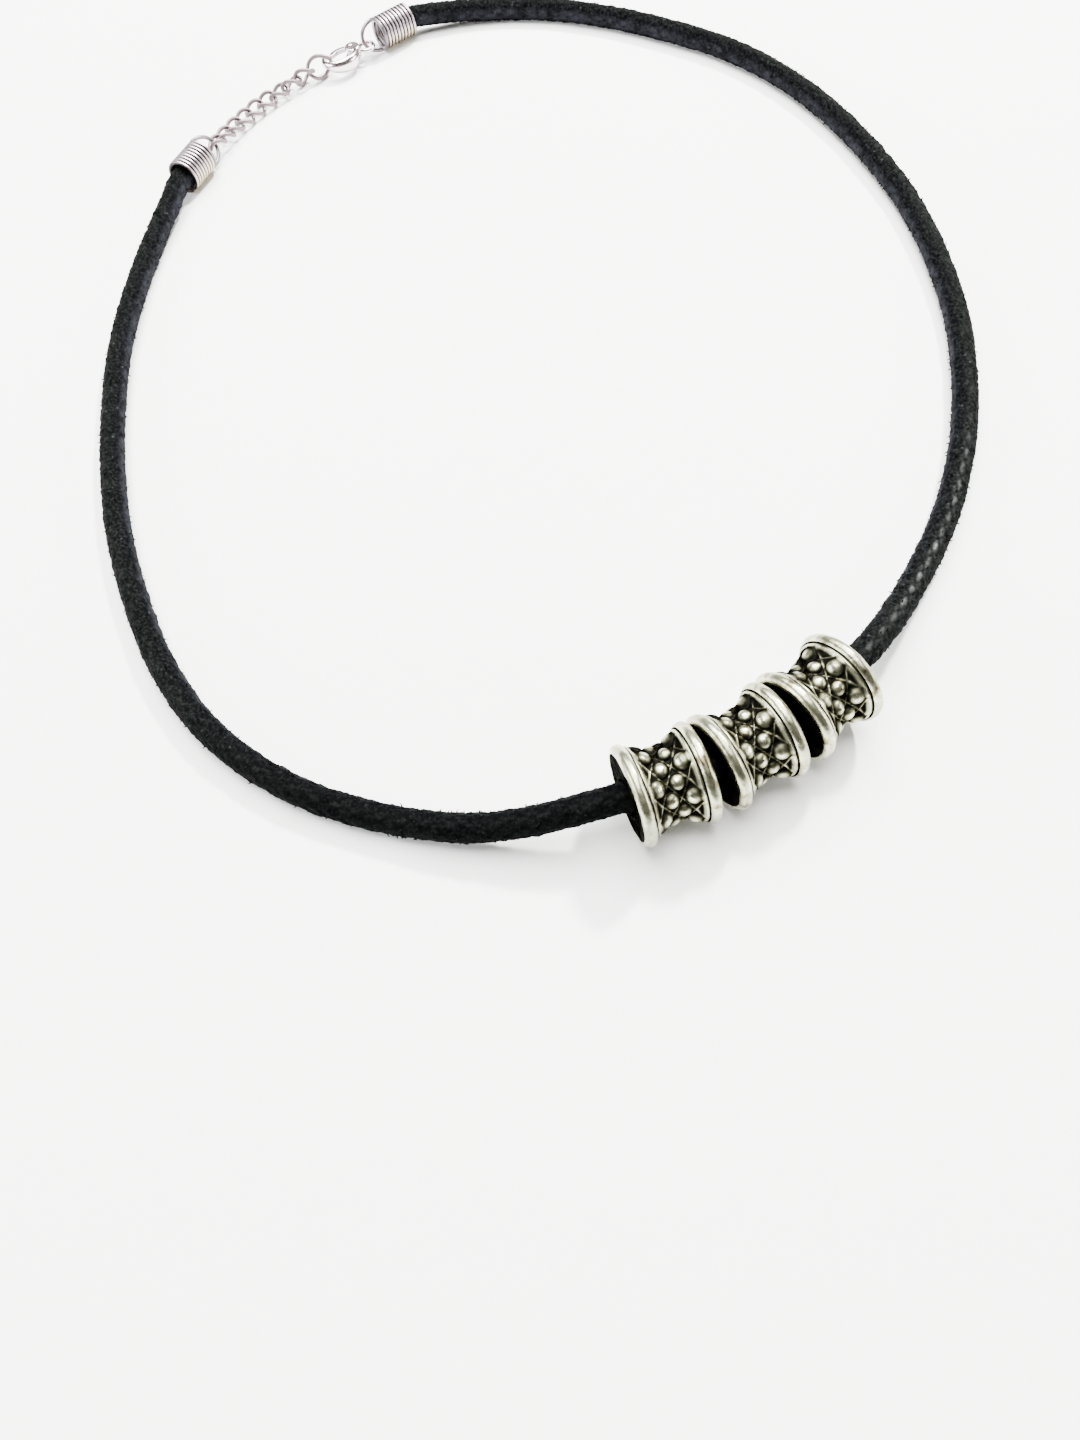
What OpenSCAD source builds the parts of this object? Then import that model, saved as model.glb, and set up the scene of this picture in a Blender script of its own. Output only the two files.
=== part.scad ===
// Cord anklet: a waxed cotton cord closed by two spring coil ends, a short
// extension chain and a small claw clasp, with three spool beads strung on it.
// It lies on a flat surface at z = 0. +X runs to the right of the oval and +Y
// from the beads towards the clasp. All sizes are in millimetres.

/* [Cord] */
// Diameter of the cord
cord_d = 2; // [1.9:0.05:2.1]

/* [Beads] */
// Number of spool beads on the cord
bead_count = 3; // [1:1:3]
// Diameter over a bead's rims
bead_d = 7; // [6.8:0.1:7.2]
// Length of a bead along the cord
bead_len = 5.3; // [5:0.1:5.4]
// Diameter of a bead's waist at its middle
bead_waist_d = 4.6; // [4.4:0.1:4.8]
// Diameter of the hole through a bead
bead_bore_d = 2.5; // [2.4:0.05:2.7]
// Diameter of each round knob on a bead's waist
knob_d = 0.84; // [0.7:0.02:0.9]
// Knobs in one ring round a bead
knobs_per_ring = 7; // [5:1:8]

/* [Coil ends] */
// Diameter of the wire that the coil ends are wound from
coil_wire_d = 0.38; // [0.3:0.01:0.38]
// Distance from one turn to the next
coil_pitch = 0.41; // [0.4:0.01:0.45]
// Turns in one coil end
coil_turns = 9.5; // [6.5:1:9.5]
// Outer diameter of a coil end
coil_d = 3.3; // [3.2:0.05:3.4]
// How far the wire eye stands out of a coil end
eye_reach = 2.2; // [2.15:0.05:2.25]

/* [Chain] */
// Diameter of the links' wire
link_wire_d = 0.38; // [0.3:0.01:0.38]
// Length of a link over its wire
link_len = 2.64; // [2.6:0.01:2.7]
// Width of a link over its wire
link_w = 2.12; // [2.05:0.01:2.2]
// Twist of each half of a link, in degrees
link_twist = 45; // [40:1:50]

/* [Clasp] */
// Radius of the clasp's tail ring, to the middle of its wire
tail_ring_r = 0.78; // [0.76:0.01:0.8]
// Thickness of the tail ring's wire
tail_wire_d = 0.42; // [0.36:0.01:0.42]
// Diameter of the rivet that the lever turns on
rivet_d = 0.4; // [0.36:0.02:0.44]
// Thickness of the lever
lever_t = 0.44; // [0.4:0.02:0.46]

/* [Hidden] */
cord_sides = 8;
wire_sides = 6;
claw_sides = 12;
link_steps = 16;
turn_steps = 14;
eye_steps = 16;
steps_per_span = 2;
smooth = 48;

cord_r = cord_d / 2;
bead_r = bead_d / 2;
coil_wire_r = coil_wire_d / 2;
coil_r = coil_d / 2 - coil_wire_r;
coil_len = coil_turns * coil_pitch;
link_wire_r = link_wire_d / 2;

// The cord's route from inside the left coil end, round past the beads, to
// inside the right one. It lies on the surface, and climbs where it is held.
route = [
    [-28.7, 30.4, 1.65], [-30.5, 27.7, 1.65], [-31.7, 24.3, 1.45], [-33.2, 20.1, 1.1],
    [-34.9, 13.6, 1.0], [-36.1, 6.3, 1.0], [-36.5, -1.0, 1.0], [-36.3, -8.4, 1.0],
    [-35.5, -15.7, 1.0], [-33.9, -22.7, 1.0], [-31.5, -29.7, 1.0], [-27.8, -36.0, 1.0],
    [-22.5, -41.1, 1.0], [-16.1, -44.7, 1.1], [-9.2, -47.0, 1.9], [-1.9, -47.4, 3.45],
    [5.3, -46.2, 3.45], [12.1, -43.5, 3.5], [18.3, -39.4, 3.3], [23.6, -33.9, 1.7],
    [28.2, -27.9, 1.05], [31.7, -21.5, 1.0], [34.2, -14.7, 1.0], [35.9, -7.6, 1.0],
    [36.6, -0.3, 1.0], [36.5, 7.1, 1.0], [35.4, 14.3, 1.0], [33.5, 21.4, 1.0],
    [30.6, 28.2, 1.0], [26.5, 34.3, 1.0], [21.3, 39.4, 1.0], [15.5, 43.9, 1.0],
    [9.2, 47.3, 1.0], [3.0, 49.0, 1.1], [-1.4, 49.3, 1.4], [-5.4, 48.9, 1.65],
    [-8.3, 47.3, 1.65]
];
// Places of the beads, counted in points along the route
bead_first = 15.62;
bead_step = 0.82;

// Each coil end: its open mouth, the way it points and the roll of its eye
left_mouth = [-30.5, 27.7, 1.65];
left_heading = 57;
left_roll = 52;
right_mouth = [-5.4, 48.9, 1.65];
right_heading = 209;
right_roll = 120;

// Chain: the first link's middle, its heading and the turn from link to link
chain_start = [-27.01, 33.22];
chain_heading = 64.5;
chain_turn = -4.86;
chain_pitch = 1.715;
// Last link against the others
last_scale = 1.2;
// Height of each link's middle, and its roll about the chain's run
chain_lie = [
    [1.32, -15], [1.06, -6], [0.85, 3], [0.7, 10], [0.68, 13],
    [0.67, 7], [0.74, -12], [0.92, -36], [1.02, -62], [1.22, -102]
];
link_count = len(chain_lie);

// Clasp: the middle of its tail ring, and the way that it points and dips
clasp_at = [-10.49, 45.755, 1.22];
clasp_heading = 205.7;
clasp_dip = 0.6;
// Claw, from the base round the back to the nose: place and half sizes
claw = [
    // x, y, half width, half thickness
    [1.3, 0.15, 0.4, 0.6], [1.75, 0.8, 0.46, 0.66], [2.45, 1.27, 0.5, 0.72],
    [3.2, 1.4, 0.48, 0.72], [3.95, 1.24, 0.44, 0.66], [4.6, 0.8, 0.38, 0.56],
    [4.98, 0.2, 0.32, 0.44], [5.04, -0.4, 0.29, 0.38], [4.8, -0.95, 0.25, 0.34],
    [4.38, -1.28, 0.18, 0.27]
];
claw_steps = 3;
base_r = 0.85;
base_at = [1.55, -0.2];
base_t = 1.24;
pivot_at = [1.55, -0.55];
pivot_gap = 0.05;
// Slot in the base that the lever works in: its near corner and its size
slot_at = [0.98, -2];
slot_size = [3.2, 2.2];
slot_t = lever_t + 0.14;
arm_at = [2.8, 0.475];
arm_r = 1.825;
arm_w = 0.44;
arm_start = -138;
arm_end = -57;
lever_eye_r = 0.46;
tab_at = [1.42, -1.32];
tab_r = 0.26;
tab_outline = [[1.17, -1.25], [1.12, -0.6], [1.95, -0.7], [1.85, -1.3], [1.5, -1.55]];

bead_names = [for (i = [1 : bead_count]) str("bead_", i)];
link_names = [for (i = [1 : link_count]) str("chain_link_", i)];

function unit(v) = v / norm(v);
function across(v, axis) = unit(v - axis * (v * axis));

// A point of a smooth curve through rows, at place t counted in rows, and
// its slope there. Both give as many numbers as a row has.
function gap(rows, i) = norm([for (k = [0 : 1]) rows[i + 1][k] - rows[i][k]]);
function slope(rows, i) =
    i == 0 ? (rows[1] - rows[0]) / gap(rows, 0)
    : i == len(rows) - 1 ? (rows[i] - rows[i - 1]) / gap(rows, i - 1)
    : let (a = gap(rows, i - 1), b = gap(rows, i))
        ((rows[i + 1] - rows[i]) / b * a + (rows[i] - rows[i - 1]) / a * b) / (a + b);
function curve_at(rows, t) =
    let (i = min(floor(t), len(rows) - 2), u = t - i, d = gap(rows, i))
    rows[i] * (2 * pow(u, 3) - 3 * u * u + 1)
    + slope(rows, i) * d * (pow(u, 3) - 2 * u * u + u)
    + rows[i + 1] * (3 * u * u - 2 * pow(u, 3))
    + slope(rows, i + 1) * d * (pow(u, 3) - u * u);
function curve(rows, steps) =
    [for (k = [0 : (len(rows) - 1) * steps]) curve_at(rows, k / steps)];
function on_floor(p) = [p[0], p[1], max(p[2], cord_r)];

// Directions along a path, open or closed
function run_of(path, closed = false) =
    let (n = len(path))
    [for (i = [0 : n - 1])
        unit(path[closed ? (i + 1) % n : min(i + 1, n - 1)]
            - path[closed ? (i + n - 1) % n : max(i - 1, 0)])];
// A vector carried along a path, kept square to it at every point
function carried(runs, v, i = 0, done = []) =
    i == len(runs) ? done
    : let (u = across(v, runs[i])) carried(runs, u, i + 1, concat(done, [u]));

// A bar swept along a path. Each ring has half sizes [across, up].
module swept(path, runs, ups, halves, sides, closed = false) {
    n = len(path);
    rings = [for (i = [0 : n - 1]) for (k = [0 : sides - 1])
        let (a = 360 * k / sides, side = cross(runs[i], ups[i]))
        path[i] + side * halves[i][0] * cos(a) + ups[i] * halves[i][1] * sin(a)];
    function at(i, k) = (i % n) * sides + k % sides;
    walls = [for (i = [0 : closed ? n - 1 : n - 2]) for (k = [0 : sides - 1])
        each [[at(i, k), at(i, k + 1), at(i + 1, k)],
            [at(i, k + 1), at(i + 1, k + 1), at(i + 1, k)]]];
    caps = closed ? [] : concat(
        [for (k = [1 : sides - 2]) [0, k + 1, k]],
        [for (k = [1 : sides - 2]) [at(n - 1, 0), at(n - 1, k), at(n - 1, k + 1)]]);
    polyhedron(rings, faces = concat(walls, caps));
}

module cord() {
    path = [for (p = curve(route, steps_per_span)) on_floor(p)];
    runs = run_of(path);
    color([0.08, 0.09, 0.08])
        swept(path, runs, carried(runs, [0, 0, 1]), [for (p = path) [cord_r, cord_r]], cord_sides);
}

// A spring coil end along +X from its mouth at the origin, with its wire bent
// up at the far end into an eye that lies across the coil's middle.
module coil_end() {
    steps = round(coil_turns * turn_steps);
    start = -360 * coil_turns;
    helix = [for (i = [0 : steps - 1])
        let (a = start + 360 * coil_turns * i / steps)
        [coil_wire_r + coil_len * i / steps, coil_r * cos(a), coil_r * sin(a)]];
    // The wire leaves the last turn just before its top, and its cut end stops
    // the same angle short of the turn that it came from.
    lead = 6;
    lift = 0.07;
    top = coil_wire_r + coil_len;
    eye = [for (i = [1 : eye_steps])
        let (a = (180 - lead) * i / eye_steps)
        [top + (eye_reach - coil_wire_r) * sin(a), coil_r * cos(a), 0]];
    path = concat(helix, [[top + lift, coil_r * cos(lead), -coil_r * sin(lead)]], eye);
    runs = run_of(path);
    swept(path, runs, carried(runs, [1, 0, 0]),
        [for (p = path) [coil_wire_r, coil_wire_r]], wire_sides);
}

module placed_coil(mouth, heading, roll) {
    color([0.84, 0.81, 0.82])
        translate(mouth)
            rotate([0, 0, heading])
                rotate([roll, 0, 0])
                    coil_end();
}

// A spool bead along +Z: two rounded rims, a ledge inside each, a hollow waist
// set with rings of knobs, and a hole for the cord.
module bead_shape() {
    rim_r = 0.45;
    ledge_r = bead_r - rim_r;
    // Thin bead on each ledge, sunk in from its edge
    ledge_bead_r = 0.13;
    ledge_sink = 0.05;
    ledge_gap = 0.06;
    hollow_r = 2;
    hollow_at = bead_waist_d / 2 + hollow_r;
    rim_at = bead_len / 2 - rim_r;
    ring_count = 4;
    ring_gap = 0.7;
    // How far each knob's middle stands out of the hollow
    knob_lift = 0.05;
    difference() {
        union() {
            rotate_extrude($fn = smooth) {
                difference() {
                    translate([0, -bead_len / 2])
                        square([ledge_r, bead_len]);
                    translate([hollow_at, 0])
                        circle(r = hollow_r, $fn = smooth);
                }
                for (s = [-1, 1]) {
                    translate([ledge_r, s * rim_at])
                        circle(r = rim_r, $fn = smooth);
                    translate([ledge_r - ledge_sink, s * (rim_at - rim_r - ledge_gap)])
                        circle(r = ledge_bead_r, $fn = smooth);
                }
            }
            for (ring = [0 : ring_count - 1], i = [0 : knobs_per_ring - 1]) {
                z = (ring - (ring_count - 1) / 2) * ring_gap;
                r = hollow_at - sqrt(hollow_r * hollow_r - z * z) + knob_lift;
                a = 360 * (i + (ring % 2) / 2) / knobs_per_ring;
                translate([r * cos(a), r * sin(a), z])
                    sphere(d = knob_d, $fn = smooth);
            }
        }
        cylinder(h = 2 * bead_len, d = bead_bore_d, center = true, $fn = smooth);
    }
}

module bead(i) {
    place = bead_first + bead_step * i;
    here = curve_at(route, place);
    nearby = 0.05;
    run = curve_at(route, place + nearby) - curve_at(route, place - nearby);
    color([0.62, 0.62, 0.56])
        translate([here[0], here[1], bead_r])
            rotate([0, 90, atan2(run[1], run[0])])
                bead_shape();
}

// Link middles, one after another along the chain's bend
function link_heading(i) = chain_heading + chain_turn * i;
function link_step(i) =
    i == link_count - 2 ? chain_pitch + (last_scale - 1) * (link_len - link_wire_d) / 2 : chain_pitch;
function link_xy(i) = i == 0 ? chain_start
    : let (h = link_heading(i - 0.5))
        link_xy(i - 1) + link_step(i - 1) * [cos(h), sin(h)];
function link_at(i) = [link_xy(i)[0], link_xy(i)[1], chain_lie[i][0]];

// An oval wire link, each half twisted about the chain's run
module chain_link(i) {
    size = i == link_count - 1 ? last_scale : 1;
    a = size * (link_len - link_wire_d) / 2;
    b = size * (link_w - link_wire_d) / 2;
    path = [for (k = [0 : link_steps - 1])
        let (u = 360 * k / link_steps, t = link_twist * cos(u))
        [a * cos(u), b * sin(u) * cos(t), b * sin(u) * sin(t)]];
    runs = run_of(path, true);
    ups = [for (k = [0 : link_steps - 1])
        let (t = link_twist * cos(360 * k / link_steps))
        across([0, -sin(t), cos(t)], runs[k])];
    step = link_at(min(i + 1, link_count - 1)) - link_at(max(i - 1, 0));
    dip = atan2(-step[2], norm([step[0], step[1]]));
    color([0.8, 0.76, 0.78])
        translate(link_at(i))
            rotate([0, dip, link_heading(i)])
                rotate([chain_lie[i][1], 0, 0])
                    swept(path, runs, ups, [for (p = path) [link_wire_r, link_wire_r]],
                        wire_sides, closed = true);
}

module clasp_frame() {
    translate(clasp_at)
        rotate([0, clasp_dip, clasp_heading])
            children();
}

module claw_bar() {
    rows = curve(claw, claw_steps);
    path = [for (p = rows) [p[0], p[1], 0]];
    runs = run_of(path);
    swept(path, runs, [for (p = path) [0, 0, 1]], [for (p = rows) [p[2], p[3]]], claw_sides);
}

module clasp_body() {
    color([0.88, 0.85, 0.86])
        clasp_frame() {
            difference() {
                union() {
                    claw_bar();
                    translate([base_at[0], base_at[1], 0])
                        cylinder(h = base_t, r = base_r, center = true, $fn = smooth);
                    rotate_extrude($fn = smooth)
                        translate([tail_ring_r, 0])
                            circle(d = tail_wire_d, $fn = smooth);
                }
                translate([slot_at[0], slot_at[1], -slot_t / 2])
                    cube([slot_size[0], slot_size[1], slot_t]);
            }
            translate([pivot_at[0], pivot_at[1], 0])
                cylinder(h = base_t, d = rivet_d, center = true, $fn = smooth);
        }
}

module flat_bar(outline_t) {
    linear_extrude(outline_t, center = true)
        children();
}

// The lever: an eye round the rivet, a curved arm and a thumb tab
module clasp_lever() {
    color([0.84, 0.81, 0.82])
        clasp_frame()
            difference() {
                union() {
                    translate([pivot_at[0], pivot_at[1], 0])
                        cylinder(h = lever_t, r = lever_eye_r, center = true, $fn = smooth);
                    translate([tab_at[0], tab_at[1], 0])
                        cylinder(h = lever_t, r = tab_r, center = true, $fn = smooth);
                    flat_bar(lever_t)
                        polygon(tab_outline);
                    translate([arm_at[0], arm_at[1], 0])
                        rotate([0, 0, arm_start])
                            rotate_extrude(angle = arm_end - arm_start, $fn = smooth)
                                translate([arm_r - arm_w / 2, -lever_t / 2])
                                    square([arm_w, lever_t]);
                    translate(concat(arm_at + arm_r * [cos(arm_end), sin(arm_end)], [0]))
                        cylinder(h = lever_t, d = arm_w, center = true, $fn = smooth);
                }
                translate([pivot_at[0], pivot_at[1], 0])
                    cylinder(h = 2 * lever_t, d = rivet_d + 2 * pivot_gap, center = true, $fn = smooth);
            }
}

cord();
placed_coil(left_mouth, left_heading, left_roll);  // coil_end_left
placed_coil(right_mouth, right_heading, right_roll);  // coil_end_right
clasp_body();
clasp_lever();
for (i = [0 : bead_count - 1]) bead(i);
for (i = [0 : link_count - 1]) chain_link(i);
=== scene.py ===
# Cotton cord anklet lying closed on a pale floor: a braided waxed cord with three
# cast spool beads, spring coil ends, a short curb chain and a claw clasp.
# Sizes below are in millimetres and turn into metres when a mesh is made.
import math
import bpy
import numpy as np
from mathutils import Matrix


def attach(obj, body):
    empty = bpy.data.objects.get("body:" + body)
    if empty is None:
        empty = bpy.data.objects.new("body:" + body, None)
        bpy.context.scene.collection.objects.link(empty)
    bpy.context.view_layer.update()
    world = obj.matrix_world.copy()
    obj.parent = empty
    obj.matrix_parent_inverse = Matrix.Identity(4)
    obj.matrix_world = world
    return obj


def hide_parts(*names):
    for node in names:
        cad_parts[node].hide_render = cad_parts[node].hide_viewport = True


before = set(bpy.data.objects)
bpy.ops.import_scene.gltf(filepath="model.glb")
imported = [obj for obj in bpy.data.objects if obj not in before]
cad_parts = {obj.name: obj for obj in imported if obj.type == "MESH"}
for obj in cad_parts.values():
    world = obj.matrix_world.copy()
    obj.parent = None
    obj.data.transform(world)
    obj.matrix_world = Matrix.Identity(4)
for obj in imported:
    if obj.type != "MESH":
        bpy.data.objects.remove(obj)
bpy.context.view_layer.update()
mm = 0.001
tau = 2 * math.pi
body = "anklet"


def unitRows(rows):
    return rows / np.linalg.norm(rows, axis=-1, keepdims=True)


def ramped(values, start, over):
    # 0 up to start, then rising to 1 over the given length
    return np.clip((values - start) / over, 0, 1)


def turnX(degrees):
    c, s = math.cos(math.radians(degrees)), math.sin(math.radians(degrees))
    return np.array([[1, 0, 0], [0, c, -s], [0, s, c]])


def turnY(degrees):
    c, s = math.cos(math.radians(degrees)), math.sin(math.radians(degrees))
    return np.array([[c, 0, s], [0, 1, 0], [-s, 0, c]])


def turnZ(degrees):
    c, s = math.cos(math.radians(degrees)), math.sin(math.radians(degrees))
    return np.array([[c, -s, 0], [s, c, 0], [0, 0, 1]])


def runsOf(path, closed=False):
    ahead, back = np.roll(path, -1, 0), np.roll(path, 1, 0)
    if not closed:
        ahead[-1], back[0] = path[-1], path[0]
    return unitRows(ahead - back)


def carriedUps(runs, first):
    ups, v = [], np.array(first, float)
    for run in runs:  # kept square to the path at every point
        v = v - run * np.dot(v, run)
        v = v / np.linalg.norm(v)
        ups.append(v)
    return np.array(ups)


def uprights(count):
    return np.tile([0.0, 0.0, 1.0], (count, 1))


def evenlySpaced(points, step=None):
    # The same line in equal steps, and each point's distance along it. With no step
    # given it keeps its number of points.
    gaps = np.linalg.norm(np.diff(points, axis=0), axis=1)
    length = np.concatenate([[0], np.cumsum(gaps)])
    count = int(length[-1] / step) + 1 if step else len(points)
    even = np.linspace(0, length[-1], count)
    return np.stack([np.interp(even, length, points[:, k]) for k in range(3)], -1), even


def tubePoints(path, runs, ups, wide, high=None):
    # wide and high: half sizes across and up, as rows by sides
    high = wide if high is None else high
    sides = wide.shape[1]
    angle = np.linspace(0, tau, sides, endpoint=False)[None, :, None]
    across = np.cross(runs, ups)[:, None, :]
    return (path[:, None, :] + wide[..., None] * np.cos(angle) * across
            + high[..., None] * np.sin(angle) * ups[:, None, :])


def gridFaces(rows, cols, closed=False, caps=True):
    i = np.arange(rows if closed else rows - 1)[:, None]
    k = np.arange(cols)[None, :]
    j, m = (i + 1) % rows, (k + 1) % cols
    corners = [i * cols + k, j * cols + k, j * cols + m, i * cols + m]
    faces = np.stack(corners, -1).reshape(-1, 4).tolist()
    if caps and not closed:
        faces.append(list(range(cols)))
        faces.append([(rows - 1) * cols + n for n in range(cols)][::-1])
    return faces


def gathered(parts):
    # the points and faces of several parts as one
    points, faces, offset = [], [], 0
    for partPoints, partFaces in parts:
        points.append(np.asarray(partPoints).reshape(-1, 3))
        faces += [[v + offset for v in face] for face in partFaces]
        offset += len(points[-1])
    return np.vstack(points), faces


def makePiece(name, points, faces, material, values=None, uv=None):
    mesh = bpy.data.meshes.new(name)
    mesh.from_pydata((np.asarray(points).reshape(-1, 3) * mm).tolist(), [], faces)
    for key, numbers in (values or {}).items():
        layer = mesh.attributes.new(key, "FLOAT", "POINT")
        layer.data.foreach_set("value", np.asarray(numbers, np.float32).ravel())
    if uv is not None:
        layer = mesh.uv_layers.new(name="along")
        corner = np.zeros(len(mesh.loops), np.int32)
        mesh.loops.foreach_get("vertex_index", corner)
        layer.data.foreach_set("uv", np.asarray(uv, np.float32).reshape(-1, 2)[corner].ravel())
    mesh.polygons.foreach_set("use_smooth", [True] * len(mesh.polygons))
    mesh.materials.append(material)
    mesh.update()
    piece = bpy.data.objects.new(name, mesh)
    bpy.context.scene.collection.objects.link(piece)
    return piece


def unevenness(points, size, seed):
    # smooth bumps about as long as size, mostly between -1 and 1
    waves, shortest, longest, peak = 9, 0.7, 1.6, 1.6
    rng = np.random.default_rng(seed)
    total = np.zeros(points.shape[:-1])
    for n in range(waves):
        way = unitRows(rng.normal(size=3)) * tau / (size * rng.uniform(shortest, longest))
        total += np.sin(points @ way + rng.uniform(0, tau))
    return total / math.sqrt(waves) / peak


def aimed(thing, x, y, z, place):
    # stand a camera or lamp at a place with its own axes along x, y and z
    turn = np.eye(4)
    turn[:3, 0], turn[:3, 1], turn[:3, 2] = x, y, z
    turn[:3, 3] = np.array(place) * mm
    thing.matrix_world = turn.T.tolist()
    bpy.context.scene.collection.objects.link(thing)


class Finish:
    # a procedural material: add() makes a node, set() joins a socket or gives it a value
    def __init__(self, name):
        self.material = bpy.data.materials.new(name)
        self.material.use_nodes = True
        self.nodes = self.material.node_tree.nodes
        self.links = self.material.node_tree.links
        self.shader = self.nodes["Principled BSDF"]
        self.count = 0

    def add(self, kind, settings=None, **inputs):
        made = self.nodes.new("ShaderNode" + kind)
        made.location = (-1400 + 190 * (self.count % 6), 300 - 260 * (self.count // 6))
        self.count += 1
        for key, value in (settings or {}).items():
            setattr(made, key, value)
        for key, value in inputs.items():
            self.set(made, key.replace("_", " "), value)
        return made

    def set(self, made, key, value):
        numbered = key[0] == "n" and key[1:].isdigit()  # n3 is the socket at place 3
        socket = made.inputs[int(key[1:])] if numbered else made.inputs[key]
        if isinstance(value, bpy.types.NodeSocket):
            self.links.new(value, socket)
        else:
            socket.default_value = value

    def surface(self, key, value):
        self.set(self.shader, key, value)

    def where(self):
        return self.add("TexCoord").outputs["Object"]

    def attribute(self, name):
        return self.add("Attribute", {"attribute_name": name}).outputs["Fac"]

    def noise(self, where, scale, detail=3.0, rough=0.55):
        made = self.add("TexNoise", None, Vector=where, Scale=scale, Detail=detail,
                        Roughness=rough)
        return made.outputs["Fac"]

    def ramp(self, source, stops):
        made = self.add("ValToRGB", None, Fac=source)
        ramp = made.color_ramp
        while len(ramp.elements) < len(stops):
            ramp.elements.new(0.5)
        for element, (place, colour) in zip(ramp.elements, stops):
            shade = colour if isinstance(colour, tuple) else (colour, colour, colour)
            element.position = place
            element.color = (*shade, 1)
        return made.outputs["Color"]

    def patches(self, where, scale, detail, rough, stops):
        return self.ramp(self.noise(where, scale, detail, rough), stops)

    def mix(self, factor, first, second, kind="MIX"):
        made = self.add("Mix", {"data_type": "RGBA", "blend_type": kind})
        self.set(made, "n0", factor)
        for place, value in (("n6", first), ("n7", second)):
            self.set(made, place, (*value, 1) if isinstance(value, tuple) else value)
        return made.outputs[2]

    def plus(self, first, second):
        return self.add("Math", {"operation": "ADD"}, n0=first, n1=second).outputs[0]

    def times(self, first, second):
        return self.add("Math", {"operation": "MULTIPLY"}, n0=first, n1=second).outputs[0]

    def span(self, source, low, high):
        return self.add("MapRange", None, Value=source, To_Min=low, To_Max=high).outputs[0]

    def bump(self, height, strength, distance):
        made = self.add("Bump", None, Strength=strength, Distance=distance, Height=height)
        self.surface("Normal", made.outputs[0])


print("stage: camera, floor and lights")


view = {
    "place": (-4.623, -73.596, 65.371),
    "forward": (0, 0.47017, -0.88257),
    "up": (0.17365, 0.86917, 0.46303),
    "lens": 26.0,
    "clipStart": 0.001,  # m
}


def makeCamera():
    camera = bpy.data.objects.new("camera", bpy.data.cameras.new("camera"))
    forward = unitRows(np.array(view["forward"], float))
    right = unitRows(np.cross(forward, view["up"]))
    aimed(camera, right, np.cross(right, forward), -forward, view["place"])
    camera.data.lens = view["lens"]
    camera.data.clip_start = view["clipStart"]
    bpy.context.scene.camera = camera


makeCamera()

floorLook = {
    "size": 900, "level": -0.02, "rough": 0.85, "shine": 0.2,
    "colour": (0.86, 0.86, 0.86), "grain": (0.83, 0.83, 0.835), "grainScale": 420,
}


def makeFloor():
    look = floorLook
    finish = Finish("pale_floor")
    grain = finish.noise(finish.where(), look["grainScale"], 4)
    finish.surface("Base Color", finish.mix(grain, look["colour"], look["grain"]))
    finish.surface("Roughness", look["rough"])
    finish.surface("Specular IOR Level", look["shine"])
    half, level = look["size"] / 2, look["level"]
    corners = [[x * half, y * half, level] for x, y in ((-1, -1), (1, -1), (1, 1), (-1, 1))]
    makePiece("floor", corners, [[0, 1, 2, 3]], finish.material)


makeFloor()

lights = [
    # name, place, size, watts, colour
    ("overhead_box", (-20, 130, 400), (340, 520), 14.0, (1.0, 0.995, 0.975)),
    ("left_box", (-380, -30, 150), (150, 330), 3.0, (0.97, 0.98, 1.0)),
    ("right_box", (390, -20, 130), (120, 300), 2.0, (1.0, 0.98, 0.95)),
    ("far_window", (262, 272, 396), (50, 60), 13.0, (1.0, 0.99, 0.96)),
]
room = {"colour": (1.0, 0.96, 0.82), "strength": 0.13}


def makeLights():
    for name, place, size, watts, colour in lights:
        lamp = bpy.data.lights.new(name, "AREA")
        lamp.shape = "RECTANGLE"
        lamp.size, lamp.size_y = size[0] * mm, size[1] * mm
        lamp.energy, lamp.color = watts, colour
        back = unitRows(np.array(place, float))  # the lamp looks at the origin
        side = unitRows(np.cross((0, 1, 0.02), back))
        aimed(bpy.data.objects.new(name, lamp), side, np.cross(back, side), back, place)
    world = bpy.data.worlds.new("soft_room")
    world.use_nodes = True
    background = world.node_tree.nodes["Background"]
    background.inputs["Color"].default_value = (*room["colour"], 1)
    background.inputs["Strength"].default_value = room["strength"]
    bpy.context.scene.world = world


makeLights()

print("stage: cord")


cord = {
    "radius": 1.0,
    "sides": 64,
    "ringStep": 0.16,       # between rings along the cord
    "strands": 8,           # each way round
    "lay": 13.2,            # length in which a strand goes once round
    "strandDepth": 0.045,
    "proud": 0.02,          # how far the strands' crowns stand over the radius
    "lumps": 0.035,
    "paintedSideShade": [             # painted light and shade, from the outer side of the loop over the top to the inner side: darker on the inner flank, with a pale lavender inner edge
        (0.0, (0.0016, 0.0020, 0.0018)),
        (0.42, (0.0015, 0.0019, 0.0016)),
        (0.66, (0.0005, 0.0006, 0.0007)),
        (0.88, (0.0008, 0.0008, 0.0014)),
        (0.98, (0.0084, 0.0086, 0.0110)),
    ],
    # pale waxy flecks, and painted glints on the waxy strand tops
    "waxAndGlintColour": (0.032, 0.035, 0.035),
    "paintedShadeColour": (0.0003, 0.0003, 0.0005),
    "waxGlintAngle": 75, "waxGlintSpread": 12,  # degrees round the cord, where it is waxiest and glints are painted
}
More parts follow.
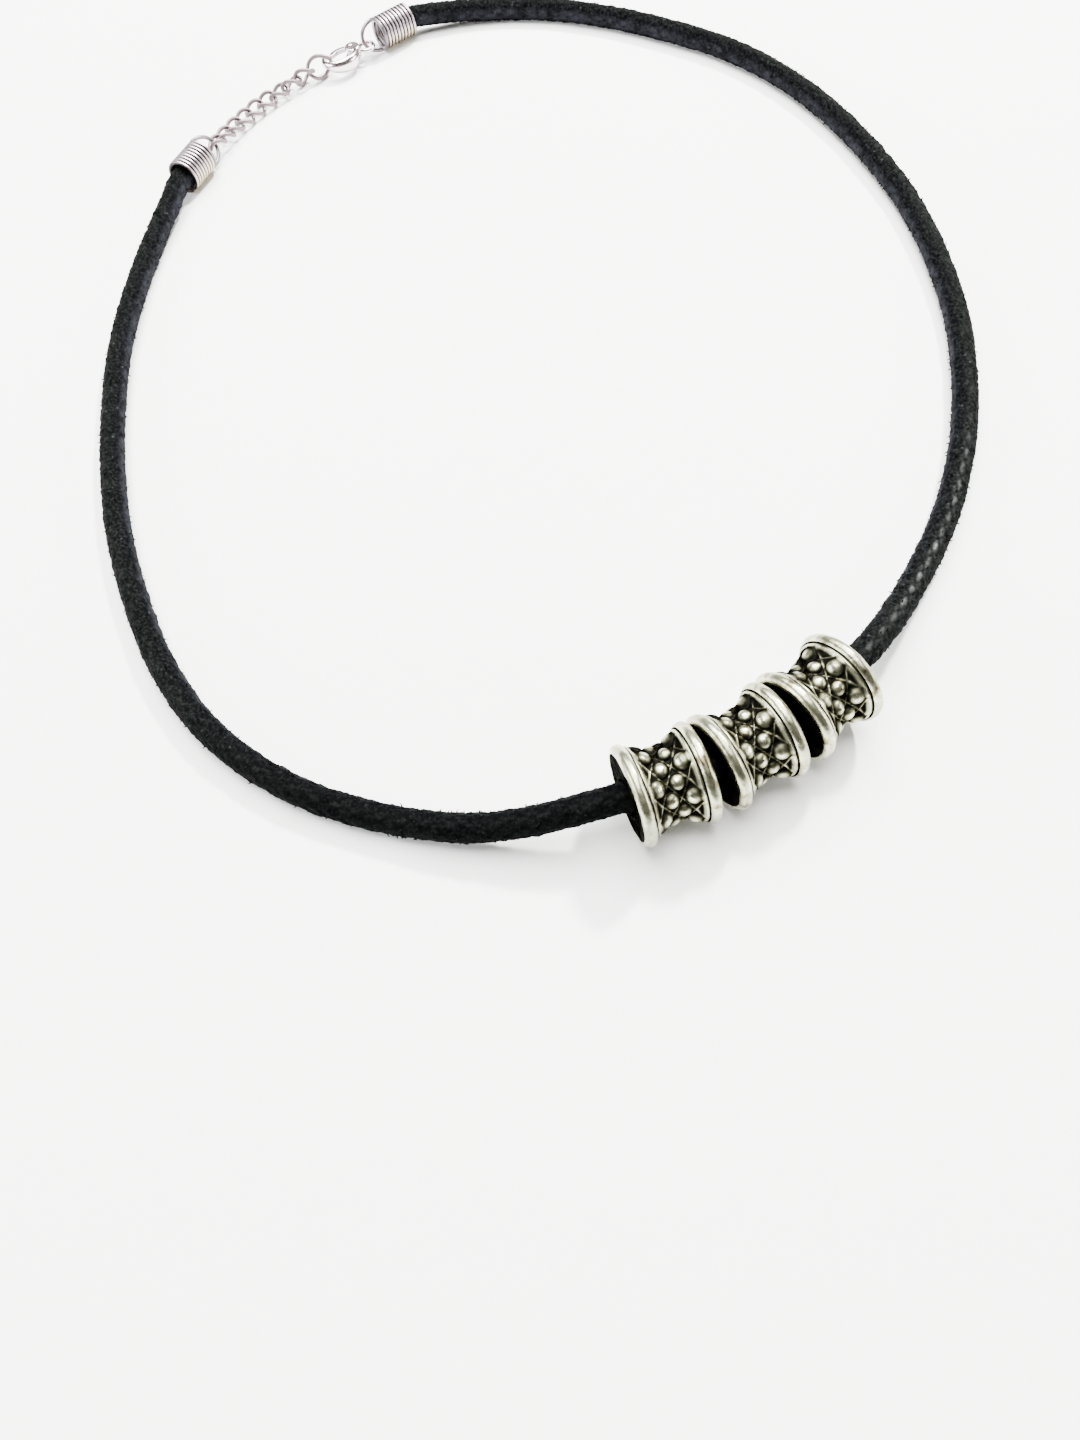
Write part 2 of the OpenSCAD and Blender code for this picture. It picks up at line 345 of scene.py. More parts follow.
# the cord's route, from inside the left coil to inside the right
cordRoute = np.array([
    [-28.7, 30.4, 1.65], [-30.5, 27.7, 1.65], [-31.7, 24.3, 1.45], [-33.2, 20.1, 1.1],
    [-34.9, 13.6, 1.0], [-36.1, 6.3, 1.0], [-36.5, -1.0, 1.0], [-36.3, -8.4, 1.0],
    [-35.5, -15.7, 1.0], [-33.9, -22.7, 1.0], [-31.5, -29.7, 1.0], [-27.8, -36.0, 1.0],
    [-22.5, -41.1, 1.0], [-16.1, -44.7, 1.1], [-9.2, -47.0, 1.9], [-1.9, -47.4, 3.45],
    [5.3, -46.2, 3.45], [12.1, -43.5, 3.5], [18.3, -39.4, 3.3], [23.6, -33.9, 1.7],
    [28.2, -27.9, 1.05], [31.7, -21.5, 1.0], [34.2, -14.7, 1.0], [35.9, -7.6, 1.0],
    [36.6, -0.3, 1.0], [36.5, 7.1, 1.0], [35.4, 14.3, 1.0], [33.5, 21.4, 1.0],
    [30.6, 28.2, 1.0], [26.5, 34.3, 1.0], [21.3, 39.4, 1.0], [15.5, 43.9, 1.0],
    [9.2, 47.3, 1.0], [3.0, 49.0, 1.1], [-1.4, 49.3, 1.4], [-5.4, 48.9, 1.65],
    [-8.3, 47.3, 1.65],
])


def curveAt(rows, places):
    # smooth curve through rows, with its slope shared between neighbours by distance
    gaps = np.linalg.norm(np.diff(rows[:, :2], axis=0), axis=1)[:, None]
    rates = np.diff(rows, axis=0) / gaps
    before, after = gaps[:-1], gaps[1:]
    shared = (rates[1:] * before + rates[:-1] * after) / (before + after)
    slopes = np.vstack([rates[:1], shared, rates[-1:]])
    places = np.asarray(places, float)
    i = np.minimum(places.astype(int), len(rows) - 2)
    u = (places - i)[:, None]
    d = gaps[i]
    return (rows[i] * (2 * u ** 3 - 3 * u ** 2 + 1) + slopes[i] * d * (u ** 3 - 2 * u ** 2 + u)
            + rows[i + 1] * (3 * u ** 2 - 2 * u ** 3) + slopes[i + 1] * d * (u ** 3 - u ** 2))


def cordLine():
    spans, finePerSpan = len(cordRoute) - 1, 60
    fine = curveAt(cordRoute, np.linspace(0, spans, spans * finePerSpan + 1))
    fine[:, 2] = np.maximum(fine[:, 2], cord["radius"])
    return evenlySpaced(fine, cord["ringStep"])


def cordFinish():
    finish = Finish("waxed_cotton")
    where = finish.where()
    flat = finish.add("UVMap", {"uv_map": "along"}).outputs["UV"]
    yarns = []
    for angle in (30, -30):  # fine yarns run along each strand
        turned = finish.add("Mapping", None, Vector=flat, Rotation=(0, 0, math.radians(angle)),
                            Scale=(9.0, 1.3, 1.0))
        yarns.append(finish.noise(turned.outputs[0], 1.0, 4, 0.6))
    yarn = finish.mix(finish.attribute("strand"), yarns[0], yarns[1])
    waxAndGlint = finish.patches(where, 1500, 4, 0.6, [(0.36, 0.0), (0.58, 1.0)])
    speck = finish.patches(where, 4600, 3, 0.65, [(0.46, 0.0), (0.64, 1.0)])
    cloud = finish.patches(where, 900, 3, 0.55, [(0.38, 0.3), (0.6, 1.45)])
    crumb = finish.patches(where, 2600, 2, 0.5, [(0.68, 0.0), (0.73, 0.45)])
    waxedAndGlint = finish.times(finish.attribute("glossAndGlint"), finish.span(waxAndGlint, 0.3, 1.0))
    # painted shade: darker on the inner side of the loop, with a pale lavender inner edge
    shade = finish.ramp(finish.attribute("inner"), cord["paintedSideShade"])
    base = finish.mix(1.0, shade, cloud, "MULTIPLY")
    base = finish.mix(finish.times(speck, 0.19), base, cord["waxAndGlintColour"])
    base = finish.mix(crumb, base, cord["waxAndGlintColour"])
    # painted shade in the grooves between the strands and at the front of the loop
    base = finish.mix(finish.times(finish.attribute("paintedShade"), 0.38), base, cord["paintedShadeColour"])
    # painted glint: a lighter colour on the waxy strand tops along the glint line
    paintedGlint = finish.times(waxedAndGlint, finish.span(speck, 0.45, 1.0))
    base = finish.mix(paintedGlint, base, cord["waxAndGlintColour"])
    finish.surface("Base Color", base)
    finish.surface("Roughness", finish.span(waxedAndGlint, 0.6, 0.34))
    finish.surface("Specular IOR Level", finish.span(waxedAndGlint, 0.01, 0.3))
    grain = finish.times(finish.noise(where, 5200, 4), 0.5)
    finish.bump(finish.plus(yarn, grain), 0.5, 0.00006)
    return finish.material


def braid(theta, along):
    # Two sets of strands cross over and under each other. Gives the height from 0 to 1,
    # which set is on top, and how near the middle of a crossing, drawn out along the
    # strand on top.
    x = cord["strands"] * (theta / tau - along / cord["lay"])
    y = cord["strands"] * (theta / tau + along / cord["lay"])
    onTop = (np.floor(x) + np.floor(y)) % 2
    fx, fy = np.sin(math.pi * (x % 1)), np.sin(math.pi * (y % 1))
    height = np.where(onTop < 0.5, fx ** 0.6 * fy ** 0.35, fx ** 0.35 * fy ** 0.6)
    middle = np.where(onTop < 0.5, fx ** 1.6 * fy ** 0.8, fx ** 0.8 * fy ** 1.6)
    return height, onTop, middle


def makeCord():
    c = cord
    material = cordFinish()
    path, along = cordLine()
    runs = runsOf(path)
    ups = carriedUps(runs, (0, 0, 1))
    theta = np.linspace(0, tau, c["sides"], endpoint=False)[None, :] + np.zeros((len(path), 1))
    plain = tubePoints(path, runs, ups, np.full(theta.shape, c["radius"]))
    sway = unevenness(plain, 2.2, 6)
    drift = 0.16 * unevenness(plain, 3.1, 7)
    height, onTop, middle = braid(theta - 0.13 + 0.07 * sway, along[:, None] + drift)
    lumps = c["lumps"] * (unevenness(plain, 1.5, 4) + 2.0 * unevenness(plain, 0.4, 8))
    grooves = c["strandDepth"] * (1 - height) * (1 + 0.5 * sway)
    points = tubePoints(path, runs, ups, c["radius"] + c["proud"] - grooves + lumps)
    points[..., 2] = np.maximum(points[..., 2], 0.0)
    uv = np.stack([theta * c["radius"], along[:, None] + 0 * theta], -1)
    x, y = path[:, :1], path[:, 1:2]
    # the cord is waxiest along its top, near the front on the right, and glints are painted there
    waxAndGlint = 0.05 + 0.95 * ramped(x, 14, 8) * ramped(-y, 19, 7)
    fromTop = (theta - math.radians(c["waxGlintAngle"])) / math.radians(c["waxGlintSpread"])
    waxAndGlint = waxAndGlint * np.exp(-fromTop ** 2) * np.clip(0.72 + 0.5 * unevenness(plain, 3.4, 9), 0.25, 1)
    # painted shade: the front of the loop is darker, from the left as far as the beads
    dark = 1.3 * ramped(-y, 30, 12) * ramped(-x, -16, 8)
    values = {
        # painted shade in the grooves between the strands and at the front of the loop
        "paintedShade": np.clip(1.25 - 1.6 * height, 0, 1) + dark,
        "strand": onTop,
        "glossAndGlint": middle * waxAndGlint,
        "inner": 0.5 - 0.5 * np.cos(theta),
    }
    faces = gridFaces(len(path), c["sides"])
    piece = makePiece("waxed_cord", points, faces, material, values, uv)
    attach(piece, body)
    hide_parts("cord")
    print("cord length mm", round(float(along[-1]), 1))
    return path, runs, ups, material


fibre = {
    "tries": 1500, "seed": 12,
    "from": 0.03, "to": 0.97,               # shares of the cord's length
    "beadsFrom": 0.405, "beadsTo": 0.48,    # none stand inside the beads
    "shortest": 0.06, "longest": 0.26,
    "lean": 1.2, "aside": 0.6,              # along the cord and round it
    "root": 0.97,                           # from the cord's middle line
    "reach": (0, 0.4, 0.75, 1.0),           # shares of the hair's length, root to tip
    "bend": (0, 0.1, 0.35, 0.8),
    "thick": (0.07, 0.06, 0.045, 0.02), "sides": 3,
    "floorRoom": 0.15, "floorReach": 1.2,   # none grow where they would meet the floor
}


def makeFibres(path, runs, ups, material):
    # short loose hairs that stand out of the braid
    f = fibre
    rng = np.random.default_rng(f["seed"])
    reach, bend, thick = (np.array(f[key])[:, None] for key in ("reach", "bend", "thick"))
    faces = gridFaces(len(thick), f["sides"])
    hairs = []
    for n in range(f["tries"]):
        i = int(rng.uniform(f["from"], f["to"]) * len(path))
        if f["beadsFrom"] < i / len(path) < f["beadsTo"]:
            continue
        angle = rng.uniform(0, tau)
        side = np.cross(runs[i], ups[i])
        out = math.cos(angle) * side + math.sin(angle) * ups[i]
        if path[i][2] + out[2] * f["floorReach"] < f["floorRoom"]:
            continue
        lean = runs[i] * rng.uniform(-f["lean"], f["lean"])
        lean = lean + np.cross(runs[i], out) * rng.uniform(-f["aside"], f["aside"])
        length = rng.uniform(f["shortest"], f["longest"])
        line = path[i] + out * f["root"] + out * (reach * length) + lean * (bend * length)
        lineRuns = runsOf(line)
        lineUps = carriedUps(lineRuns, side + 0.3 * out)
        tube = tubePoints(line, lineRuns, lineUps, thick * np.ones((1, f["sides"])))
        hairs.append((tube, faces))
    points, faces = gathered(hairs)
    values = {"paintedShade": np.zeros(len(points)), "strand": np.zeros(len(points))}
    piece = makePiece("cord_fibres", points, faces, material, values, points[:, :2])
    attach(piece, body)


makeFibres(*makeCord())

print("stage: beads")


bead = {
    "count": 3, "first": 15.62, "step": 0.82,   # places along the route's points
    "outer": 3.5, "length": 5.3, "waist": 2.3, "bore": 1.25,
    "rim": 0.45, "ledge": 0.13, "hollow": 2.0, "bevel": 0.14,
    "knobRows": 14, "columns": 4, "columnGap": 0.7,
    "knobHigh": 0.38, "knobAcross": 0.6, "knobAlong": 0.56,
    "netHigh": 0.09, "netWide": 0.045,
    "around": 280, "waistRings": 57, "lumps": 0.014,
    "bright": (0.79, 0.785, 0.56), "wornAndShaded": (0.29, 0.295, 0.20),
    "olive": (0.05, 0.049, 0.03), "black": (0.004, 0.004, 0.003),
    "warm": (0.2, 0.15, 0.09),
    "clean": (1.0, 1.0, 1.0), "tarnishedShadedTint": (0.03, 0.03, 0.025),  # tint of the metal's reflection, darkened with the tarnish and the painted shade
}


def beadFinish():
    b = bead
    finish = Finish("antique_silver")
    where = finish.where()
    recess = finish.attribute("recess")
    cloud = finish.noise(where, 1100, 5, 0.65)
    # tarnish in the hollows, with painted shade on the end faces, in the bore and on the tops
    tarnishAndShade = finish.plus(recess, finish.span(cloud, -0.25, 0.25))
    colour = finish.ramp(tarnishAndShade, [
        (0.05, b["bright"]), (0.36, b["wornAndShaded"]), (0.66, b["olive"]), (0.9, b["black"]),
    ])
    blotch = finish.patches(where, 900, 4, 0.6, [(0.54, 0.0), (0.66, 0.85)])
    finish.surface("Base Color", finish.mix(blotch, colour, b["warm"], "MULTIPLY"))
    finish.surface("Metallic", 1.0)
    # tarnish and painted shade also darken the metal's reflection
    edgeOn = finish.ramp(recess, [(0.35, b["clean"]), (0.8, b["tarnishedShadedTint"])])
    finish.surface("Specular Tint", edgeOn)
    rough = finish.plus(finish.span(recess, 0.17, 0.5), finish.span(cloud, -0.06, 0.1))
    finish.surface("Roughness", rough)
    fine = finish.times(finish.noise(where, 9000, 2), 0.3)
    finish.bump(finish.plus(finish.noise(where, 2600, 4), fine), 0.28, 0.00005)
    return finish.material


def beadProfile():
    # Rows of radius, place along the axis, outward direction and how dark the tarnish and painted
    # shade are, from the middle of the bore over one rim, the waist and the other rim and back.
    b = bead
    top = b["length"] / 2
    rimAt, ledgeR = top - b["rim"], b["outer"] - b["rim"]
    hollowAt = b["waist"] + b["hollow"]
    rows = []

    def arc(cr, cz, r, start, end, steps, dark0, dark1, flip=1):
        for n in range(steps + 1):
            t = n / steps
            a = math.radians(start + (end - start) * t)
            out, along = math.cos(a), math.sin(a)
            dark = dark0 + (dark1 - dark0) * t
            rows.append([cr + r * out, cz + r * along, flip * out, flip * along, dark])

    for z in np.linspace(0, top - 0.16, 8):  # bore, darkened as painted shade
        rows.append([b["bore"], z, -1, 0, 0.85])
    arc(b["bore"] + b["bevel"], top - b["bevel"], b["bevel"], 180, 90, 4, 0.9, 0.85)
    for r in np.linspace(b["bore"] + 0.2, ledgeR - 0.05, 16):  # dished end face, darkened as painted shade where the beads face each other
        t = (r - b["bore"]) / (ledgeR - b["bore"])
        rows.append([r, top - 0.05 * math.sin(math.pi * t), 0, 1, 0.95 - 0.15 * t])
    # rounded rim
    arc(ledgeR, rimAt, b["rim"], 88, 30, 12, 0.12, 0.3)
    arc(ledgeR, rimAt, b["rim"], 26, -62, 22, 0.3, 0.2)
    # groove beside the rim, then the thin ledge
    arc(ledgeR + 0.25, rimAt - b["rim"] + 0.025, 0.08, 110, 215, 5, 0.6, 1.0, -1)
    arc(ledgeR - 0.01, rimAt - b["rim"] - 0.07, b["ledge"], 62, -48, 12, 0.55, 0.2)
    half = len(rows)
    edge = math.degrees(math.acos((hollowAt - ledgeR) / b["hollow"])) - 3
    for n in range(b["waistRings"]):
        t = 1 - 2 * n / (b["waistRings"] - 1)
        side = abs(t)
        a = math.radians(edge * t)
        dark = 0.35 + 0.65 * min(1, max(0, (side - 0.55) / 0.3)) - 0.55 * max(0, (side - 0.9) / 0.1)
        out, along = math.cos(a), math.sin(a)
        rows.append([hollowAt - b["hollow"] * out, b["hollow"] * along, out, -along, dark])
    for r, z, outR, outZ, dark in rows[:half][::-1]:
        rows.append([r, -z, outR, -outZ, dark])
    inHollow = np.zeros((len(rows), 1))
    inHollow[half:half + b["waistRings"]] = 1
    return np.array(rows), inHollow


def makeBead(number, material, rows, inHollow):
    b = bead
    around = np.linspace(0, tau, b["around"], endpoint=False)[None, :]
    r, z, outR, outZ, dark = (rows[:, n][:, None] for n in range(5))
    # a counts round the bead and j along it. p and q count along the two slanting lines
    # of knobs, so a knob's middle is where both are whole.
    a = around / tau * b["knobRows"]
    j = z / b["columnGap"] + (b["columns"] - 1) / 2
    p, q = (a + j) / 2, (a - j) / 2
    p0, q0 = np.round(p), np.round(q)
    fromKnobA, fromKnobJ, knobJ = a - p0 - q0, j - p0 + q0, p0 - q0
    away = ((fromKnobA * tau * (b["waist"] + 0.15) / b["knobRows"] / b["knobAcross"]) ** 2
            + (fromKnobJ * b["columnGap"] / b["knobAlong"]) ** 2)
    real = (knobJ > -0.5) * (knobJ < b["columns"] - 0.5) * inHollow
    knob = np.clip(1 - away, 0, 1) ** 0.62 * real
    # fine lines cross midway between the knobs
    toNet = (0.5 - np.maximum(abs(p - p0), abs(q - q0))) * 0.99
    netOn = inHollow * np.clip((2.05 - abs(z) / b["columnGap"]) * 2.2 + 0.6, 0, 1)
    net = np.exp(-(toNet / b["netWide"]) ** 2) * netOn
    plain = np.stack([r * np.cos(around), r * np.sin(around), z + 0 * around], -1)
    lumps = b["lumps"] * unevenness(plain, 1.1, 30 + number)
    lumps = lumps + 0.5 * b["lumps"] * unevenness(plain, 0.45, 50 + number)
    lift = b["knobHigh"] * knob + b["netHigh"] * net + lumps
    recess = dark * (1 - real) + real * np.clip(0.1 + 0.95 * away ** 0.95, 0.1, 1)
    recess = np.clip(recess - 0.45 * net * (1 - np.clip(knob * 3, 0, 1)), 0, 1)
    # flanges: tarnish and painted shade from the profile, with random wear
    wornAndShaded = np.clip(recess + 0.03 + 0.09 * unevenness(plain, 1.8, 70 + number), 0, 1)
    recess = np.where(inHollow > 0, recess, wornAndShaded)
    lifted = r + outR * lift
    local = np.stack([lifted * np.cos(around), lifted * np.sin(around), z + outZ * lift], -1)
    place, nearby = b["first"] + b["step"] * number, 0.05
    before, here, beyond = curveAt(cordRoute, [place - nearby, place, place + nearby])
    run = beyond - before
    lie = turnZ(math.degrees(math.atan2(run[1], run[0]))) @ turnY(90)
    points = local @ lie.T + np.array([here[0], here[1], b["outer"]])
    points[..., 2] = np.maximum(points[..., 2], 0.0)
    # painted shade: the tops of the beads, facing up and away, are darker between the knobs
    outward = np.stack([np.cos(around), np.sin(around), 0 * around], -1) @ lie.T
    shaded = ramped(outward @ np.array([-0.1, 0.9, 0.4]), 0.55, 0.35)
    recess = np.clip(recess + 0.4 * shaded * inHollow * (1 - 0.6 * knob), 0, 1)
    faces = gridFaces(len(rows), b["around"], caps=False)
    name = "spool_bead_%d" % (number + 1)
    piece = makePiece(name, points, faces, material, {"recess": recess})
    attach(piece, body)
    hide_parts("bead_%d" % (number + 1))


def makeBeads():
    material = beadFinish()
    rows, inHollow = beadProfile()
    for number in range(bead["count"]):
        makeBead(number, material, rows, inHollow)


makeBeads()

print("stage: coil ends")


coil = {
    "wire": 0.19, "pitch": 0.41, "turns": 9.5, "outer": 1.65,
    "reach": 2.2, "lead": 6, "lift": 0.07,      # the eye
    "stepsPerTurn": 44, "eyeSteps": 60, "sides": 14, "rounding": 6, "cutEnd": 0.8,
    "places": [  # node, mouth, heading, roll
        ("coil_end_left", (-30.5, 27.7, 1.65), 57, 52),
        ("coil_end_right", (-5.4, 48.9, 1.65), 209, 120),
    ],
    "rough": 0.28, "metal": 1.0,
    "colour": (0.50, 0.43, 0.475), "tint": (0.36, 0.31, 0.335),
    "groove": (0.022, 0.017, 0.018), "low": (0.62, 0.53, 0.36),
}


def wireFinish(name, look):
    # the recess attribute paints shade into grooves and the places where wires meet
    finish = Finish(name)
    where = finish.where()
    cloud = finish.noise(where, 700, 4, 0.6)
    plate = finish.mix(finish.span(cloud, 0.0, 1.0), look["colour"], look["tint"])
    plate = finish.mix(finish.attribute("low"), plate, look["low"])
    plate = finish.mix(finish.attribute("recess"), plate, look["groove"])
    finish.surface("Base Color", plate)
    finish.surface("Metallic", look["metal"])
    rough = finish.span(finish.noise(where, 3000, 3), look["rough"], look["rough"] + 0.14)
    finish.surface("Roughness", rough)
    finish.bump(finish.noise(where, 4200, 4), 0.12, 0.00002)
    return finish.material


def coilLine():
    # the wire's middle line, and how many of its points are in the wound part
    c = coil
    r, length = c["outer"] - c["wire"], c["turns"] * c["pitch"]
    steps = int(c["turns"] * c["stepsPerTurn"])
    t = np.arange(steps) / steps
    a = -tau * c["turns"] * (1 - t)
    helix = np.stack([c["wire"] + length * t, r * np.cos(a), r * np.sin(a)], -1)
    top, lead = c["wire"] + length, math.radians(c["lead"])
    bend = np.array([[top + c["lift"], r * math.cos(lead), -r * math.sin(lead)]])
    e = (math.pi - lead) * np.arange(1, c["eyeSteps"] + 1) / c["eyeSteps"]
    eye = np.stack([top + (c["reach"] - c["wire"]) * np.sin(e), r * np.cos(e), 0 * e], -1)
    rough = np.vstack([helix, bend, eye])
    path = evenlySpaced(rough)[0]
    for n in range(c["rounding"]):  # round off the bend into the eye
        path[1:-1] = path[1:-1] * 0.5 + (path[2:] + path[:-2]) * 0.25
    return path, steps


def makeCoils():
    c = coil
    material = wireFinish("bright_coil_wire", c)
    path, steps = coilLine()
    runs = runsOf(path)
    wide = np.full((len(path), c["sides"]), c["wire"])
    wide[[0, -1]] *= c["cutEnd"]
    local = tubePoints(path, runs, carriedUps(runs, (1, 0, 0)), wide)
    outward = unitRows(path * (0, 1, 1))[:, None, :]
    facing = np.sum((local - path[:, None, :]) * outward, -1) / c["wire"]
    place = np.arange(len(path))[:, None]
    wound = place < steps
    # painted shade between the turns and round the cord, left out again inside the coil's empty
    # end; the eye is evenly darker
    empty = ramped(place / steps, 0.6, 0.15)
    recess = ramped(-facing, -0.93, 0.35) * (1 - empty * ramped(-facing, 0, 0.3))
    recess = np.where(wound, recess, 0.64)
    for node, mouth, heading, roll in c["places"]:
        points = local @ (turnZ(heading) @ turnX(roll)).T + np.array(mouth)
        x, z = points[..., 0], points[..., 2]
        under = np.clip(1.25 - z / c["outer"] - 0.3 * x / 30, 0, 1)
        low = under * wound * np.clip(facing + 0.6, 0, 1)
        name = node.replace("coil_end", "spring_end")
        faces = gridFaces(len(path), c["sides"])
        piece = makePiece(name, points, faces, material, {"recess": recess, "low": low})
        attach(piece, body)
        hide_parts(node)


makeCoils()

print("stage: chain")


chain = {
    "wire": 0.19, "long": 2.64, "wide": 2.12, "twist": 45, "steps": 72, "sides": 14,
    "start": (-27.01, 33.22), "heading": 64.5, "turn": -4.86, "pitch": 1.715, "lastScale": 1.2,
    "lie": [  # height of a link's middle, and its roll
        (1.32, -15), (1.06, -6), (0.85, 3), (0.7, 10), (0.68, 13),
        (0.67, 7), (0.74, -12), (0.92, -36), (1.02, -62), (1.22, -102),
    ],
    "rough": 0.34, "metal": 0.6,
    "colour": (0.19, 0.145, 0.158), "tint": (0.14, 0.103, 0.116),
    "groove": (0.02, 0.014, 0.017), "low": (0.2, 0.17, 0.14),
}


def linkMiddles():
    c = chain
    middles, x, y = [], *c["start"]
    last = len(c["lie"]) - 1
    for n in range(last + 1):
        if n:
            heading = math.radians(c["heading"] + c["turn"] * (n - 0.5))
            larger = (c["lastScale"] - 1) * (c["long"] / 2 - c["wire"]) if n == last else 0
            step = c["pitch"] + larger
            x, y = x + step * math.cos(heading), y + step * math.sin(heading)
        middles.append((x, y, c["lie"][n][0]))
    return np.array(middles)


def makeChain():
    c = chain
    material = wireFinish("bright_chain_wire", c)
    middles = linkMiddles()
    last = len(middles) - 1
    u = np.linspace(0, tau, c["steps"], endpoint=False)
    t = np.radians(c["twist"]) * np.cos(u)
    atEnds = ramped(abs(np.cos(u)), 0.72, 0.2)[:, None]
    faces = gridFaces(c["steps"], c["sides"], closed=True)
    for n, middle in enumerate(middles):
        scale = c["lastScale"] if n == last else 1.0
        long, wide = scale * (c["long"] / 2 - c["wire"]), scale * (c["wide"] / 2 - c["wire"])
        across = wide * np.sin(u)
        path = np.stack([long * np.cos(u), across * np.cos(t), across * np.sin(t)], -1)
        runs = runsOf(path, True)
        ups = np.stack([0 * u, -np.sin(t), np.cos(t)], -1)
        ups = unitRows(ups - runs * np.sum(ups * runs, -1, keepdims=True))
        local = tubePoints(path, runs, ups, np.full((c["steps"], c["sides"]), c["wire"]))
        fromLine = (local - path[:, None, :]) * unitRows(path)[:, None, :]
        inside = -np.sum(fromLine, -1) / c["wire"]
        # painted shade on the inner side of each link's ends, where the links meet
        recess = np.clip(inside + 0.3, 0, 1) * atEnds * 0.8
        step = middles[min(n + 1, last)] - middles[max(n - 1, 0)]
        dip = math.degrees(math.atan2(-step[2], math.hypot(step[0], step[1])))
        place = turnZ(c["heading"] + c["turn"] * n) @ turnY(dip) @ turnX(c["lie"][n][1])
        name = "curb_link_%d" % (n + 1)
        piece = makePiece(name, local @ place.T + middle, faces, material, {"recess": recess})
        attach(piece, body)
        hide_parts("chain_link_%d" % (n + 1))


makeChain()

print("stage: clasp")


clasp = {
    "at": (-10.49, 45.755, 1.22), "heading": 205.7, "dip": 0.6,
    "claw": np.array([  # x, y, half width, half thickness, from the base to the nose
        [1.3, 0.15, 0.4, 0.6], [1.75, 0.8, 0.46, 0.66], [2.45, 1.27, 0.5, 0.72],
        [3.2, 1.4, 0.48, 0.72], [3.95, 1.24, 0.44, 0.66], [4.6, 0.8, 0.38, 0.56],
        [4.98, 0.2, 0.32, 0.44], [5.04, -0.4, 0.29, 0.38], [4.8, -0.95, 0.25, 0.34],
        [4.38, -1.28, 0.18, 0.27],
    ]),
    "clawRings": 73, "clawSides": 28,
    "base": (1.55, -0.2), "baseR": 0.85, "baseHigh": 1.24, "baseSoft": 0.12,
    "ringR": 0.78, "ringWire": 0.21, "ringSteps": 64, "ringSides": 20,
    "pivot": (1.55, -0.55), "rivetR": 0.2, "rivetHigh": 1.32, "rivetSoft": 0.05,
    "slotAt": (0.98, -2), "slotSize": (3.2, 2.2), "slotHigh": 0.58,
    "armAt": (2.8, 0.475), "armR": 1.825, "armWide": 0.44,
    "armStart": -138, "armEnd": -57, "armSteps": 40,
    "leverHigh": 0.44, "leverEye": 0.46, "tab": (1.42, -1.32), "tabR": 0.26,
    "tabOutline": [(1.17, -1.25), (1.12, -0.6), (1.95, -0.7), (1.85, -1.3), (1.5, -1.55)],
    "voxel": 0.034, "leverVoxel": 0.028,
    "rough": 0.14, "metal": 1.0,
    "colour": (0.80, 0.71, 0.74), "tint": (0.60, 0.51, 0.55),
    "groove": (0.05, 0.04, 0.045), "low": (0.80, 0.72, 0.62),
}


def post(x, y, radius, high, soft=0.06):
    # upright round with softened edges
    sides, half = 48, high / 2
    rings = [(radius - soft, -half), (radius, -half + soft),
             (radius, half - soft), (radius - soft, half)]
    a = np.linspace(0, tau, sides, endpoint=False)
    points = [[x + r * math.cos(t), y + r * math.sin(t), h] for r, h in rings for t in a]
    return points, [face[::-1] for face in gridFaces(len(rings), sides)]


def slab(outline, high):
    n = len(outline)
    points = [[x, y, h] for h in (-high / 2, high / 2) for x, y in outline]
    faces = [list(range(n))[::-1], [n + k for k in range(n)]]
    return points, faces + [[k, (k + 1) % n, n + (k + 1) % n, n + k] for k in range(n)]


def fused(name, solids, voxel, cut=None, after=()):
    # the solids melted into one casting, in a scene unit of one millimetre, with an
    # optional slot cut out and more solids melted in after it
    def joined(label, parts):
        points, faces = gathered(parts)
        mesh = bpy.data.meshes.new(label)
        mesh.from_pydata(points.tolist(), [], faces)
        thing = bpy.data.objects.new(label, mesh)
        bpy.context.scene.collection.objects.link(thing)
        return thing

    def applied(thing):
        ready = thing.evaluated_get(bpy.context.evaluated_depsgraph_get())
        made = bpy.data.meshes.new_from_object(ready)
        points = np.zeros(len(made.vertices) * 3)
        made.vertices.foreach_get("co", points)
        faces = [list(face.vertices) for face in made.polygons]
        bpy.data.objects.remove(thing)
        return points.reshape(-1, 3), faces

    def melted(parts, smoothing):
        thing = joined(name, parts)
        remesh = thing.modifiers.new("melt", "REMESH")
        remesh.mode, remesh.voxel_size = "VOXEL", voxel
        soften = thing.modifiers.new("soften", "SMOOTH")
        soften.factor, soften.iterations = 0.5, smoothing
        return applied(thing)

    shape = melted(solids, 4)
    if cut is not None:
        thing, knife = joined(name, [shape]), joined("knife", [cut])
        slot = thing.modifiers.new("slot", "BOOLEAN")
        slot.operation, slot.object = "DIFFERENCE", knife
        shape = applied(thing)
        bpy.data.objects.remove(knife)
        shape = melted([shape, *after], 5)
    return shape


def placedClasp(points):
    c = clasp
    return points @ (turnZ(c["heading"]) @ turnY(c["dip"])).T + np.array(c["at"])


